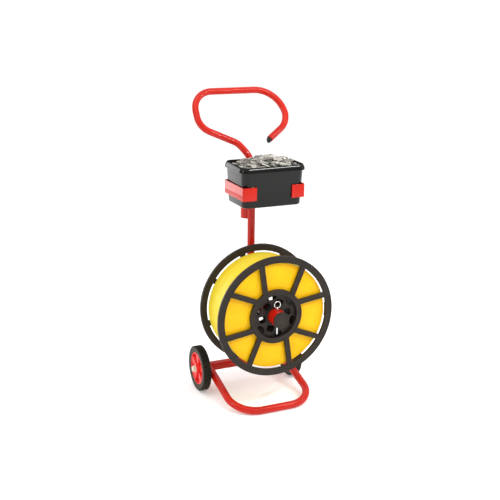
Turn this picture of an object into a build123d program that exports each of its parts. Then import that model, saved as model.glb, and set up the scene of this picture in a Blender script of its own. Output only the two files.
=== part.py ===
"""Strapping trolley: a wheeled stand that carries a reel of strapping and a tote of seals.

Frame: X to the right, Y to the back, Z up, millimetres. The origin is on the floor under
the middle of the whole trolley's box.
"""
from build123d import *
import math
import os

# ---------------------------------------------------------------- driving dimensions
tube_od = 25.0            # mast and base tube
tube_wall = 2.0
mast_wall = 1.5
handle_od = 21.8          # slides into the mast's bore
handle_wall = 2.0
handle_engagement = 50.0  # length of the handle inside the mast
plug_stem = 15.0
plug_head = 8.0
push_fit_gap = 0.1        # round a plug or a cap pushed into a tube

wheel_radius = 77.0
wheel_width = 28.0
wheel_inner_x = 156.0     # inner face of each tyre
tyre_bore_radius = 55.0
tyre_shoulder = 3.0       # chamfer
axle_radius = 6.0
axle_clearance = 0.06
axle_y_from_mast = 36.0
axle_overhang = 8.0       # past the wheel's outer face, inside the cap
axle_cap_radius = 12.0
axle_cap_length = 11.5
washer_radius = 12.0
washer_thickness = 2.0
end_plate_thickness = 3.0
hub_boss_radius = 16.0
hub_boss_out = 2.0        # the boss stands out of the wheel's outer face
hub_gap = 0.3             # end play on each side of the boss
hub_rib_count = 5
hub_rib_depth = 11.0
hub_rib_inner = (14.0, 4.0)   # radius and half width where a rib starts
hub_rib_outer = (51.0, 15.0)  # and where it meets the rim band

bar_side = 25.0           # square cross bar that holds the axle
bar_half_length = 147.0
bar_wall = 2.0

base_half_width = 139.4   # centre line of the U-shaped base tube
base_front_y = -221.0
base_bend_radius = 88.0

reel_radius = 200.0
reel_width = 161.0
reel_front_y = -206.0
reel_centre_z = 322.0
rim_width = 22.0
flange_depth = 10.0
spoke_pairs = 4
spoke_width = 17.0
pair_phase = -7.0         # middle of the first pair, from +X towards +Z
spoke_splay = 15.5        # each spoke leans this far out from its pair's middle line
spoke_offset = 26.0       # and its centre line misses the reel's axis by this much
hub_ring_outer = 90.0
hub_ring_inner = 72.0
core_radius = 87.0
core_wall = 3.0
strap_radius = 175.0
web_recess = 12.0
web_thickness = 4.0
boss_radius = 33.0
bore_gap = 0.6            # radial clearance of the reel on the spindle
window_count = 6
window_phase = 10.0
window_radius = 44.8      # from the reel's axis to the middle of a window
window_size = (21.0, 25.0)    # along the radius, and across it
window_corner = 6.0
oval_radius = 65.5
oval_size = (30.0, 21.0)      # across the radius, and along it

spindle_radius = 26.0
spindle_wall = 2.5
spindle_reach = -243.0    # front face of the end cap
spindle_plate_side = 80.0
spindle_plate_front_y = -19.0
spindle_plate_thickness = 9.0
stop_ring_radius = 38.0
stop_ring_gap = 1.0       # behind the reel
stop_ring_width = 6.0
cap_head = 4.0
cap_stem = 14.0
cap_stem_wall = 2.4
pin_radius = 3.0
pin_hole_radius = 3.35
pin_before_reel = 4.0     # the pin's centre line stands this far in front of the reel
pin_tail = 57.0           # the leg's length below the spindle's axis
pin_wire_radius = 1.9
pin_eye_radius = 10.6
pin_rest_gap = 0.4        # between the spindle and the pin's shoulder

cradle_bottom_z = 698.0
cradle_height = 42.0
cradle_half_width = 105.5
cradle_rear_y = -21.0
cradle_front_y = -175.0
cradle_thickness = 3.0
cradle_lip = 45.5
cradle_corner = 7.0

tote_bottom_z = 673.0
tote_height = 129.0
tote_taper_deg = 2.6
tote_wall = 2.5
tote_corner = 16.0
tote_rim_drop = 18.0
tote_rim_out = 6.5
tote_gap = 0.3            # between the tote and its cradle
heap_peak = 22.0          # above the tote's rim
heap_dome_radius = 220.0
heap_skin = 3.0

sleeve_outer_radius = 22.0
sleeve_inner_radius = 20.0
sleeve_bottom_z = 593.0
sleeve_height = 80.0

mast_foot_rise = 28.0     # straight foot, above the cross bar
mast_step_rise = 98.0     # where the mast is back over its own axis
mast_bend_radius = 60.0
mast_top_z = 740.0        # behind the tote; the handle tube stands in it
handle_bend_z = 795.0
handle_lean_deg = 33.0
loop_half_width = 157.0
loop_height = 245.0

# The trolley's box runs from the spindle's cap to the back of the handle. Every piece is
# laid out from the mast, then moved by this much so that the box is centred on the origin.
lean = math.radians(handle_lean_deg)
handle_back_y = loop_height * math.sin(lean) + handle_od / 2
mast_y = -(spindle_reach + handle_back_y) / 2

# ---------------------------------------------------------------- worked-out values
tube_radius = tube_od / 2
reel_back_y = reel_front_y + reel_width
axle_z = wheel_radius
bar_front_y = axle_y_from_mast - bar_side / 2
wheel_outer_x = wheel_inner_x + wheel_width
base_slope = (axle_z - tube_radius) / (bar_front_y - base_front_y)
cradle_top_z = cradle_bottom_z + cradle_height
tote_centre_y = (cradle_rear_y + cradle_front_y) / 2
taper = math.tan(math.radians(tote_taper_deg))
pin_y = reel_front_y - pin_before_reel


def tube_along(path, diameter, wall):
    """A round tube with open ends, its section carried along the path."""
    start = Plane(origin=path @ 0, z_dir=path % 0)
    section = Circle(diameter / 2) - Circle(diameter / 2 - wall)
    return sweep(start * section, path=path)


def cylinder_y(radius, front, back, x=0.0, z=reel_centre_z):
    """A solid cylinder along Y from front to back."""
    middle = (front + back) / 2
    return Pos(x, middle, z) * Rot(90, 0, 0) * Cylinder(radius, back - front)


def cylinder_x(radius, inner, outer, y=axle_y_from_mast, z=wheel_radius):
    """A solid cylinder along X from inner to outer."""
    middle = (inner + outer) / 2
    return Pos(middle, y, z) * Rot(0, 90, 0) * Cylinder(radius, abs(outer - inner))


def ring_y(outer, inner, front, back):
    """A flat ring about the reel's axis."""
    return cylinder_y(outer, front, back) - cylinder_y(inner, front - 1, back + 1)


def around_reel(solid, angle):
    """A solid drawn along the reel's +X direction, turned about the reel's axis.

    A positive angle turns it from +X towards +Z."""
    about = Pos(0, 0, reel_centre_z) * Rot(0, -angle, 0) * Pos(0, 0, -reel_centre_z)
    return about * solid


# ---------------------------------------------------------------- mast, handle and base
def mast_tube():
    """Upright tube. Its foot steps back to stand on the cross bar."""
    bar_top = axle_z + bar_side / 2
    points = [
        (0, axle_y_from_mast, bar_top),
        (0, axle_y_from_mast, bar_top + mast_foot_rise),
        (0, 0, bar_top + mast_step_rise),
        (0, 0, mast_top_z),
    ]
    return tube_along(FilletPolyline(*points, radius=mast_bend_radius), tube_od, mast_wall)


def loop_point(x, along):
    """A point of the leaning handle plane: x across, and the distance up the slope."""
    return (x, along * math.sin(lean), handle_bend_z + along * math.cos(lean))


def handle_path():
    """Centre line of the handle: up the mast, out to the left and round an open loop."""
    w = loop_half_width
    points = [
        (0, 0, mast_top_z - handle_engagement),
        (0, 0, handle_bend_z),
        loop_point(-36, 57),
        loop_point(-w, 120),
        loop_point(-w, loop_height),
        loop_point(w, loop_height),
        loop_point(w, 122),
        loop_point(79, 66),
    ]
    return FilletPolyline(*points, radius=[80, 60, 62, 68, 94, 70])


def handle_tube():
    """One bent tube whose straight foot stands in the mast's bore."""
    return tube_along(handle_path(), handle_od, handle_wall)


def handle_plug():
    """Plastic plug pushed into the handle's free end, with a rounded head."""
    path = handle_path()
    end = Plane(origin=path @ 1, z_dir=path % 1)
    radius = handle_od / 2
    stem = Pos(0, 0, -plug_stem / 2) * Cylinder(radius - handle_wall - push_fit_gap, plug_stem)
    head = Pos(0, 0, plug_head / 2) * Cylinder(radius, plug_head)
    head = fillet(head.edges().group_by(Axis.Z)[-1], 4)
    return end * (stem + head)


def base_tube():
    """U-shaped floor tube: the front bar lies on the floor, the legs rise to the cross bar."""
    past = 20
    end_y = bar_front_y + past
    end_z = tube_radius + base_slope * (end_y - base_front_y)
    w = base_half_width
    points = [
        (-w, end_y, end_z),
        (-w, base_front_y, tube_radius),
        (w, base_front_y, tube_radius),
        (w, end_y, end_z),
    ]
    tube = tube_along(FilletPolyline(*points, radius=base_bend_radius), tube_od, tube_wall)
    behind = Pos(0, bar_front_y + 50, axle_z) * Box(4 * w, 100, 200)
    return tube - behind


def cross_bar():
    """Square tube across the back; the legs and the mast are welded to it."""
    length = 2 * bar_half_length
    outside = Box(length, bar_side, bar_side)
    inside = Box(length + 2, bar_side - 2 * bar_wall, bar_side - 2 * bar_wall)
    bar = outside - inside
    return Pos(0, axle_y_from_mast, axle_z) * bar


def axle_plate(side):
    """Plate that closes one end of the cross bar and carries the axle."""
    t = end_plate_thickness
    x = side * (bar_half_length + t / 2)
    plate = Pos(x, axle_y_from_mast, axle_z) * Box(t, bar_side, bar_side)
    return plate - cylinder_x(axle_radius, x - t, x + t)


def axle_rod():
    """Steel rod through the cross bar, as long as the caps' sockets allow."""
    end = wheel_outer_x + axle_overhang
    return cylinder_x(axle_radius, -end, end)


def axle_washer(side):
    """Washer on the axle between the end plate and the wheel's hub."""
    inner = side * (bar_half_length + end_plate_thickness)
    outer = inner + side * washer_thickness
    low, high = sorted((inner, outer))
    return cylinder_x(washer_radius, low, high) - cylinder_x(axle_radius, low - 1, high + 1)


def axle_cap(side):
    """Domed push-on cap that keeps the wheel on the axle."""
    start = wheel_outer_x + hub_boss_out + hub_gap
    blank = Pos(0, 0, axle_cap_length / 2) * Cylinder(axle_cap_radius, axle_cap_length)
    blank = fillet(blank.edges().group_by(Axis.Z)[-1], 5)
    socket = Pos(0, 0, 3) * Cylinder(axle_radius, 6)
    cap = blank - socket
    return Pos(side * start, axle_y_from_mast, axle_z) * Rot(0, side * 90, 0) * cap


# ---------------------------------------------------------------- wheels
def revolve_about_axle(points, side):
    """A profile of (x, radius) points turned about the axle."""
    outline = Polyline(*[(x * side, 0, radius) for x, radius in points], close=True)
    solid = revolve(make_face(outline), axis=Axis.X)
    return Pos(0, axle_y_from_mast, axle_z) * solid


def tyre(side):
    """Solid rubber tyre with chamfered shoulders."""
    a, b = wheel_inner_x, wheel_outer_x
    points = [
        (a, tyre_bore_radius),
        (a, wheel_radius - tyre_shoulder),
        (a + tyre_shoulder, wheel_radius),
        (b - tyre_shoulder, wheel_radius),
        (b, wheel_radius - tyre_shoulder),
        (b, tyre_bore_radius),
    ]
    return revolve_about_axle(points, side)


def wheel_hub(side):
    """Plastic hub: rim band, dished web, five fan-shaped ribs and a bored boss."""
    a, b = wheel_inner_x, wheel_outer_x
    rim = [
        (a + 2, tyre_bore_radius),
        (b - 2, tyre_bore_radius),
        (b - 2, tyre_bore_radius - 4),
        (a + 16, tyre_bore_radius - 5),
        (a + 12, 14),
        (a + 8, 14),
        (a + 12, tyre_bore_radius - 5),
        (a + 2, tyre_bore_radius - 4),
    ]
    hub = revolve_about_axle(rim, side)
    boss_start = bar_half_length + end_plate_thickness + washer_thickness + hub_gap
    hub += cylinder_x(hub_boss_radius, *sorted((side * boss_start, side * (b + hub_boss_out))))
    (near, near_half), (far, far_half) = hub_rib_inner, hub_rib_outer
    fan = Polyline((-near_half, near), (near_half, near), (far_half, far), (-far_half, far), close=True)
    rib = extrude(Plane.YZ * make_face(fan), hub_rib_depth / 2, both=True)
    rib = Pos(side * (b - 4 - hub_rib_depth / 2), 0, 0) * rib
    for k in range(hub_rib_count):
        hub += Pos(0, axle_y_from_mast, axle_z) * Rot(360 / hub_rib_count * k, 0, 0) * rib
    bore = cylinder_x(axle_radius + axle_clearance, *sorted((side * a * 0.8, side * b * 1.2)))
    return hub - bore


# ---------------------------------------------------------------- spindle
def spindle_plate():
    """Square plate, coped to sit against the front of the mast."""
    middle = spindle_plate_front_y + spindle_plate_thickness / 2
    plate = Box(spindle_plate_side, spindle_plate_thickness, spindle_plate_side)
    plate = Pos(0, middle, reel_centre_z) * plate
    mast = Pos(0, 0, reel_centre_z) * Cylinder(tube_radius, 100)
    return plate - mast


def spindle_tube():
    """Tube that the reel turns on, with a cross hole near its front for the pin."""
    front = spindle_reach + cap_head
    back = spindle_plate_front_y
    tube = cylinder_y(spindle_radius, front, back)
    tube -= cylinder_y(spindle_radius - spindle_wall, front - 1, back + 1)
    hole = Pos(0, pin_y, reel_centre_z) * Cylinder(pin_hole_radius, 80)
    return tube - hole


def spindle_stop_ring():
    """Collar that keeps the reel off the mast."""
    front = reel_back_y + stop_ring_gap
    return ring_y(stop_ring_radius, spindle_radius, front, front + stop_ring_width)


def spindle_end_cap():
    """Plastic cap pushed into the spindle's open end."""
    head = Cylinder(spindle_radius + 1, cap_head)
    head = fillet(head.edges().group_by(Axis.Z)[-1], 1.5)
    radius = spindle_radius - spindle_wall - push_fit_gap
    middle = -(cap_head + cap_stem) / 2
    stem = Pos(0, 0, middle) * Cylinder(radius, cap_stem)
    stem -= Pos(0, 0, middle - 1) * Cylinder(radius - cap_stem_wall, cap_stem)
    face = spindle_reach + cap_head / 2
    return Pos(0, face, reel_centre_z) * Rot(90, 0, 0) * (head + stem)


def retaining_pin():
    """Wire pin: a straight leg through the spindle and a loop to pull it by."""
    leg_bottom = reel_centre_z - pin_tail
    neck = reel_centre_z + spindle_radius + pin_rest_gap
    leg = Pos(0, pin_y, (leg_bottom + neck) / 2) * Cylinder(pin_radius, neck - leg_bottom)
    shoulder_height = 6
    eye_z = neck + 3 + pin_eye_radius + pin_wire_radius
    eye = Pos(0, pin_y, eye_z) * Rot(90, 0, 0) * Torus(pin_eye_radius, pin_wire_radius)
    shoulder = Pos(0, pin_y, neck + shoulder_height / 2) * Cylinder(pin_radius + 0.9, shoulder_height)
    return leg + eye + shoulder


# ---------------------------------------------------------------- reel
def flange(front, back):
    """Spoked side of the reel: rim, ring round the hub opening and four pairs of spokes."""
    side = ring_y(reel_radius, reel_radius - rim_width, front, back)
    side += ring_y(hub_ring_outer, hub_ring_inner, front, back)
    inner = math.sqrt((hub_ring_outer - 4) ** 2 - spoke_offset ** 2)
    outer = math.sqrt((reel_radius - rim_width + 3) ** 2 - spoke_offset ** 2)
    depth = back - front - 2
    for k in range(spoke_pairs):
        for hand in (-1, 1):
            spoke = Box(outer - inner, depth, spoke_width)
            height = reel_centre_z + hand * spoke_offset
            spoke = Pos((inner + outer) / 2, (front + back) / 2, height) * spoke
            side += around_reel(spoke, pair_phase + 360 / spoke_pairs * k + hand * spoke_splay)
    return side


def winding_core():
    """Drum that the strap is wound on, between the two flanges."""
    front = reel_front_y + flange_depth
    back = reel_back_y - flange_depth
    return ring_y(core_radius, core_radius - core_wall, front, back)


def hub_web(front, inward):
    """Disc inside the drum with a bored boss, six rounded windows and six oval holes.

    The boss stands on the side that inward (1 or -1 along Y) points to."""
    back = front + web_thickness
    bore = spindle_radius + bore_gap
    web = ring_y(core_radius - core_wall, bore, front, back)
    boss_ends = sorted((front - 4 * inward, front + 28 * inward))
    web += ring_y(boss_radius, bore, *boss_ends)
    middle = (front + back) / 2
    for k in range(window_count):
        angle = window_phase + 360 / window_count * k
        window = extrude(RectangleRounded(*window_size, window_corner), web_thickness, both=True)
        window = Pos(window_radius, middle, reel_centre_z) * Rot(90, 0, 0) * window
        web -= around_reel(window, angle)
        oval = extrude(SlotOverall(*oval_size), web_thickness, both=True)
        oval = Pos(oval_radius, middle, reel_centre_z) * Rot(90, 0, 0) * Rot(0, 0, 90) * oval
        web -= around_reel(oval, angle - 180 / window_count)
    return web


def strap_winding():
    """Wound strap: one closed ring between the flanges."""
    front = reel_front_y + flange_depth + 1.5
    back = reel_back_y - flange_depth - 1.5
    return ring_y(strap_radius, core_radius, front, back)


def strap_end_clip():
    """Small clip behind the front rim that traps the strap's free end."""
    front = reel_front_y + flange_depth
    plate = ring_y(reel_radius - 2, strap_radius + 2.5, front, front + 3)
    wedge = Pos(reel_radius - 18, front, reel_centre_z) * Box(50, 20, 44)
    plate = plate & wedge
    finger = Pos(reel_radius - 2, front + 1.5, reel_centre_z - 18) * Box(12, 3, 7)
    return plate + finger


# ---------------------------------------------------------------- tote, cradle and sleeve
def rounded_block(half_x, half_y, radius, height):
    return extrude(RectangleRounded(2 * half_x, 2 * half_y, radius), height)


def box_cradle():
    """Flat bar bent round the tote, open in the middle of the front."""
    t = cradle_thickness
    half_y = (cradle_rear_y - cradle_front_y) / 2
    band = rounded_block(cradle_half_width, half_y, cradle_corner, cradle_height)
    band -= rounded_block(cradle_half_width - t, half_y - t, cradle_corner - t, cradle_height)
    gap = 2 * (cradle_half_width - cradle_lip)
    band -= Pos(0, -half_y, cradle_height / 2) * Box(gap, 20, cradle_height + 2)
    return Pos(0, tote_centre_y, cradle_bottom_z) * band


def cradle_mount_block():
    """Block welded between the mast and the back of the cradle."""
    depth = -cradle_rear_y - 4
    block = Box(30, depth, cradle_height - 8)
    middle_z = cradle_bottom_z + cradle_height / 2
    block = Pos(0, cradle_rear_y + depth / 2, middle_z) * block
    mast = Pos(0, 0, middle_z) * Cylinder(tube_radius, 100)
    return block - mast


def tool_sleeve():
    """Open tube behind the mast that the strapping tool's shank stands in."""
    centre_y = tube_radius + sleeve_outer_radius - 0.5
    sleeve = Cylinder(sleeve_outer_radius, sleeve_height)
    sleeve -= Cylinder(sleeve_inner_radius, sleeve_height + 2)
    middle_z = sleeve_bottom_z + sleeve_height / 2
    sleeve = Pos(0, centre_y, middle_z) * sleeve
    mast = Pos(0, 0, middle_z) * Cylinder(tube_radius, 2 * sleeve_height)
    return sleeve - mast


def tote_half_sizes(z):
    """Half width and half depth of the tote's outer wall at height z.

    The wall all but touches the cradle's upper edge and widens upwards."""
    grow = taper * (z - cradle_top_z) - cradle_thickness - tote_gap
    half_x = cradle_half_width + grow
    half_y = (cradle_rear_y - cradle_front_y) / 2 + grow
    return half_x, half_y


def tapered_block(inset, low_z, high_z):
    """A block with the tote's draft, set in from its outer wall."""
    half_x, half_y = tote_half_sizes(low_z)
    low = RectangleRounded(2 * (half_x - inset), 2 * (half_y - inset), tote_corner - inset)
    return Pos(0, tote_centre_y, low_z) * extrude(low, high_z - low_z, taper=-tote_taper_deg)


def seal_box():
    """Plastic tote with drafted walls and a deep turned-down rim."""
    top = tote_bottom_z + tote_height
    tote = tapered_block(0, tote_bottom_z, top)
    half_x, half_y = tote_half_sizes(top)
    out = tote_rim_out
    rim = rounded_block(half_x + out, half_y + out, tote_corner + out, tote_rim_drop)
    rim = fillet(rim.edges().group_by(Axis.Z)[-1], 3)
    tote += Pos(0, tote_centre_y, top - tote_rim_drop) * rim
    return tote - tapered_block(tote_wall, tote_bottom_z + tote_wall, top + 1)


def heap(inset):
    """The filled inside of the tote with a low domed top."""
    gap = tote_wall + tote_gap + inset
    floor_z = tote_bottom_z + tote_wall + inset
    block = tapered_block(gap, floor_z, tote_bottom_z + tote_height + 60)
    centre_z = tote_bottom_z + tote_height + heap_peak - heap_dome_radius
    return block & (Pos(0, tote_centre_y, centre_z) * Sphere(heap_dome_radius - inset))


def seal_heap():
    """Loose seals as one closed skin, hollow so that it weighs what the seals do."""
    return heap(0) - heap(heap_skin)


# ---------------------------------------------------------------- write the pieces
nodes = {
    "mast_tube": mast_tube(),
    "handle_tube": handle_tube(),
    "handle_plug": handle_plug(),
    "base_tube": base_tube(),
    "cross_bar": cross_bar(),
    "axle_rod": axle_rod(),
    "spindle_plate": spindle_plate(),
    "spindle_tube": spindle_tube(),
    "spindle_stop_ring": spindle_stop_ring(),
    "spindle_end_cap": spindle_end_cap(),
    "retaining_pin": retaining_pin(),
    "front_flange": flange(reel_front_y, reel_front_y + flange_depth),
    "rear_flange": flange(reel_back_y - flange_depth, reel_back_y),
    "winding_core": winding_core(),
    "front_hub_web": hub_web(reel_front_y + web_recess, 1),
    "rear_hub_web": hub_web(reel_back_y - web_recess - web_thickness, -1),
    "strap_winding": strap_winding(),
    "strap_end_clip": strap_end_clip(),
    "box_cradle": box_cradle(),
    "cradle_mount_block": cradle_mount_block(),
    "tool_sleeve": tool_sleeve(),
    "seal_box": seal_box(),
    "seal_heap": seal_heap(),
}
for name, side in (("left", -1), ("right", 1)):
    nodes["axle_plate_" + name] = axle_plate(side)
    nodes["axle_washer_" + name] = axle_washer(side)
    nodes["axle_cap_" + name] = axle_cap(side)
    nodes["tyre_" + name] = tyre(side)
    nodes["wheel_hub_" + name] = wheel_hub(side)

os.makedirs("parts", exist_ok=True)
for name, shape in nodes.items():
    export_step(Pos(0, mast_y, 0) * shape, "parts/" + name + ".step")
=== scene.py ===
"""Looks of the strapping trolley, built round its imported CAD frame.

Metres, Z up, the front of the trolley faces -Y. Every new piece is a surface worked out as
whole numpy arrays: a profile turned about an axis, an outline carried along a path, or a
loft of rounded rectangles.
"""
import math

import bmesh
import bpy
import numpy as np
from mathutils import Matrix, Vector


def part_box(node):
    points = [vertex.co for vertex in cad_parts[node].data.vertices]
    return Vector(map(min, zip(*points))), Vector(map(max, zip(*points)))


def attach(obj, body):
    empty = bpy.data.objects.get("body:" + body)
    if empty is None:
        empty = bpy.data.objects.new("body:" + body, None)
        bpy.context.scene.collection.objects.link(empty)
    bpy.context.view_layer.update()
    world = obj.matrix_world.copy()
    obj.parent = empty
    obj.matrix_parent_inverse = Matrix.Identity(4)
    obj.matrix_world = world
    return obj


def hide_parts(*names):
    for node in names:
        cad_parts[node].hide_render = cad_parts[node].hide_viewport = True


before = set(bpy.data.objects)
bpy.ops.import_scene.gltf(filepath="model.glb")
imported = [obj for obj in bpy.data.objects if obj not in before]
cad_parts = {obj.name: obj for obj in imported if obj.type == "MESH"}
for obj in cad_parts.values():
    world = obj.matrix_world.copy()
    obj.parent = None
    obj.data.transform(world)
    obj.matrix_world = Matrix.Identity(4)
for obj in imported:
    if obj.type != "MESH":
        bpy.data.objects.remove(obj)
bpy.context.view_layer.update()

MM = 0.001
X_AXIS, Y_AXIS, Z_AXIS = np.eye(3)


# ---- sizes read from the frame
def span(node):
    """Lowest and highest corner of a CAD node as arrays."""
    low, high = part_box(node)
    return np.array(low), np.array(high)


mast_low, mast_high = span("mast_tube")
TUBE_R = (mast_high[0] - mast_low[0]) / 2
TUBE_WALL = 2 * MM
MAST_WALL = 1.5 * MM
HANDLE_R = 10.9 * MM    # slides into the mast's bore
MAST_Y = mast_low[1] + TUBE_R

flange_low, flange_high = span("front_flange")
rear_low, rear_high = span("rear_flange")
REEL_R = (flange_high[0] - flange_low[0]) / 2
REEL_Z = (flange_high[2] + flange_low[2]) / 2
REEL_CENTRE = np.array([0, 0, REEL_Z])

tyre_low, tyre_high = span("tyre_right")
WHEEL_R = (tyre_high[2] - tyre_low[2]) / 2
WHEEL_INNER, WHEEL_OUTER = tyre_low[0], tyre_high[0]
AXLE_Y = (tyre_high[1] + tyre_low[1]) / 2
AXLE_Z = (tyre_high[2] + tyre_low[2]) / 2

bar_low, bar_high = span("cross_bar")
cradle_low, cradle_high = span("box_cradle")
tote_low, tote_high = span("seal_box")
TOTE_Y = (tote_low[1] + tote_high[1]) / 2


# ---- shapes
def mm(*sizes):
    """Sizes given in millimetres."""
    return np.array(sizes) * MM


def full_turn(steps):
    """Evenly spread angles, once round."""
    return np.linspace(0, 2 * math.pi, steps, endpoint=False)


def unit_circle(u, v, steps):
    """Points u * cos a + v * sin a, once round."""
    angle = full_turn(steps)[:, None]
    return u * np.cos(angle) + v * np.sin(angle)


def unit(v):
    """v at length 1, row by row."""
    return v / np.linalg.norm(v, axis=-1, keepdims=True)


def bent_path(points, radii, arc_step=math.radians(3)):
    """Straight runs joined by arcs, as (points, tangents).

    At a corner that turns by t, the arc of radius r starts r * tan(t / 2) before it, and its
    points are centre + r * (e1 * cos a + e2 * sin a), for a from 0 to t."""
    points = np.array(points, float)
    places, tangents = [points[:1]], [unit(points[1:2] - points[:1])]
    for before, corner, after, radius in zip(points, points[1:], points[2:], radii):
        back, on = unit(before - corner), unit(after - corner)
        turn = math.pi - math.acos(np.clip(back @ on, -1, 1))
        start = corner + back * radius * math.tan(turn / 2)
        centre = corner + unit(back + on) * radius / math.cos(turn / 2)
        angle = np.linspace(0, turn, max(4, int(turn / arc_step) + 1))[:, None]
        e1, e2 = (start - centre) / radius, -back
        places.append(centre + radius * (e1 * np.cos(angle) + e2 * np.sin(angle)))
        tangents.append(e2 * np.cos(angle) - e1 * np.sin(angle))
    places.append(points[-1:])
    tangents.append(unit(points[-1:] - points[-2:-1]))
    return np.concatenate(places), np.concatenate(tangents)


def rounded(points, radius, steps=5):
    """A closed flat outline with each corner turned into an arc of the given radius."""
    points = np.array(points, float)
    radii = np.broadcast_to(radius, len(points))
    corners = []
    for i, corner in enumerate(points):
        before, after = points[i - 1], points[(i + 1) % len(points)]
        r = radii[i]
        if r <= 0:
            corners.append(corner[None])
            continue
        back, on = unit(before - corner), unit(after - corner)
        turn = math.pi - math.acos(np.clip(back @ on, -1, 1))
        room = 0.48 * min(np.linalg.norm(before - corner), np.linalg.norm(after - corner))
        r = min(r, room / max(math.tan(turn / 2), 1e-6))
        start = corner + back * r * math.tan(turn / 2)
        centre = corner + unit(back + on) * r / math.cos(turn / 2)
        angle = np.linspace(0, turn, steps)[:, None]
        corners.append(centre + (start - centre) * np.cos(angle) - back * r * np.sin(angle))
    return np.concatenate(corners)


def rectangle(width, height):
    """Corners of a rectangle about the origin."""
    w, h = width / 2, height / 2
    return [(-w, -h), (w, -h), (w, h), (-w, h)]


def carried(path, tangents, reference, outline):
    """Grid (i, j) = path[i] + outline[j, 0] * side[i] + outline[j, 1] * up[i].

    side is reference x tangent and up is tangent x side, so the outline never twists."""
    side = unit(np.cross(reference, tangents))
    up = np.cross(tangents, side)
    return (path[:, None] + outline[None, :, :1] * side[:, None]
            + outline[None, :, 1:] * up[:, None])


def circle(radius, steps):
    """A flat circle of the given radius."""
    angle = full_turn(steps)
    return radius * np.stack([np.cos(angle), np.sin(angle)], axis=1)


def tube_grid(path, tangents, reference, radius, wall, steps=56):
    """A tube: the outer skin along the path, then the bore back again, closed at both ends.

    Each end has a small chamfer, a ring set in by the chamfer at the very end."""
    chamfer = 0.5 * MM
    spots = np.concatenate([path[:1], path[:1] + tangents[:1] * chamfer, path[1:-1],
                            path[-1:] - tangents[-1:] * chamfer, path[-1:]])
    ways = np.concatenate([tangents[:1], tangents, tangents[-1:]])
    outer = carried(spots, ways, reference, circle(radius, steps))
    tips = carried(spots[[0, -1]], ways[[0, -1]], reference, circle(radius - chamfer, steps))
    outer[0], outer[-1] = tips
    inner = carried(spots, ways, reference, circle(radius - wall, steps))
    return np.concatenate([outer, inner[::-1]]), True, True


def lathe_grid(profile, axis, centre, steps=96):
    """Grid (i, j) = centre + along[i] * axis + radius[i] * (u * cos a[j] + v * sin a[j])."""
    profile = np.array(profile, float)
    u = Z_AXIS if abs(axis[2]) < 0.9 else X_AXIS
    v = np.cross(axis, u)
    angle = full_turn(steps)[None, :, None]
    spin = u * np.cos(angle) + v * np.sin(angle)
    along, radius = profile[:, 0, None, None], profile[:, 1, None, None]
    return np.array(centre) + along * axis + radius * spin, True, True


def collar_grid(low, high, inner, outer, edge, steps):
    """A plain ring about the spindle, from low to high along Y."""
    section = [(low[1], inner), (low[1], outer), (high[1], outer), (high[1], inner)]
    return lathe_grid(rounded(section, edge), Y_AXIS, REEL_CENTRE, steps)


def mirrored(half):
    """A row of flat points, then its mirror image."""
    return np.concatenate([half, np.array(half)[::-1] * [-1, 1]])


def prism_grid(outline, low, high, edge, place, steps=3):
    """An outline swept along its own normal, with a rounded rim at both ends.

    Ring k is the outline moved in along its normals by edge * (1 - sin b), at a distance
    edge * (1 - cos b) from the end face, for b from 0 to 90 degrees; place turns
    (u, v, w) into a point."""
    ahead = np.roll(outline, -1, axis=0) - outline
    behind = outline - np.roll(outline, 1, axis=0)
    way = unit(unit(ahead) + unit(behind))
    inward = np.stack([-way[:, 1], way[:, 0]], axis=1)
    area = np.sum(outline[:, 0] * np.roll(outline[:, 1], -1)
                  - outline[:, 1] * np.roll(outline[:, 0], -1))
    inward *= np.sign(area)
    b = np.linspace(0, math.pi / 2, steps)
    inset, rise = edge * (1 - np.sin(b)), edge * (1 - np.cos(b))
    inset = np.concatenate([inset, inset[::-1]])
    level = np.concatenate([low + rise, (high - rise)[::-1]])
    flat = outline[None] + inset[:, None, None] * inward[None]
    level = np.broadcast_to(level[:, None, None], flat.shape[:2] + (1,))
    return place(np.concatenate([flat, level], axis=2)), False, True


def rounded_rectangles(half_x, half_y, corner, per_corner=9):
    """Rings of rounded rectangles, one row for each half size, and the same point count.

    A corner point is the corner's centre + corner * (cos a, sin a)."""
    half_x, half_y, corner = (np.asarray(a, float)[:, None] for a in (half_x, half_y, corner))
    quarter = np.linspace(0, math.pi / 2, per_corner)
    angle = np.concatenate([quarter + k * math.pi / 2 for k in range(4)])[None]
    sign_x = np.repeat([1, -1, -1, 1], per_corner)[None]
    sign_y = np.repeat([1, 1, -1, -1], per_corner)[None]
    x = sign_x * (half_x - corner) + corner * np.cos(angle)
    y = sign_y * (half_y - corner) + corner * np.sin(angle)
    return np.stack([x, y], axis=2)


def grid_faces(rows, columns, wrap_rows, wrap_columns, first):
    """Quads between neighbouring points of a grid."""
    r = np.arange(rows if wrap_rows else rows - 1)[:, None]
    c = np.arange(columns if wrap_columns else columns - 1)[None]
    r2, c2 = (r + 1) % rows, (c + 1) % columns
    quads = [r * columns + c, r * columns + c2, r2 * columns + c2, r2 * columns + c]
    return np.stack(quads, axis=2).reshape(-1, 4) + first


def outward(points, faces):
    """Faces turned so that the shell's signed volume is positive."""
    a, b, c, d = (points[faces[:, k]] for k in range(4))
    volume = np.sum(a * np.cross(b, c)) + np.sum(a * np.cross(c, d))
    return faces if volume > 0 else faces[:, ::-1]


def linked(name, data):
    """A new object in the scene."""
    obj = bpy.data.objects.new(name, data)
    bpy.context.scene.collection.objects.link(obj)
    return obj


def set_attribute(mesh, key, values):
    """One number for each point of the mesh."""
    layer = mesh.attributes.new(key, "FLOAT", "POINT")
    layer.data.foreach_set("value", np.asarray(values, np.float32))


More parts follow.
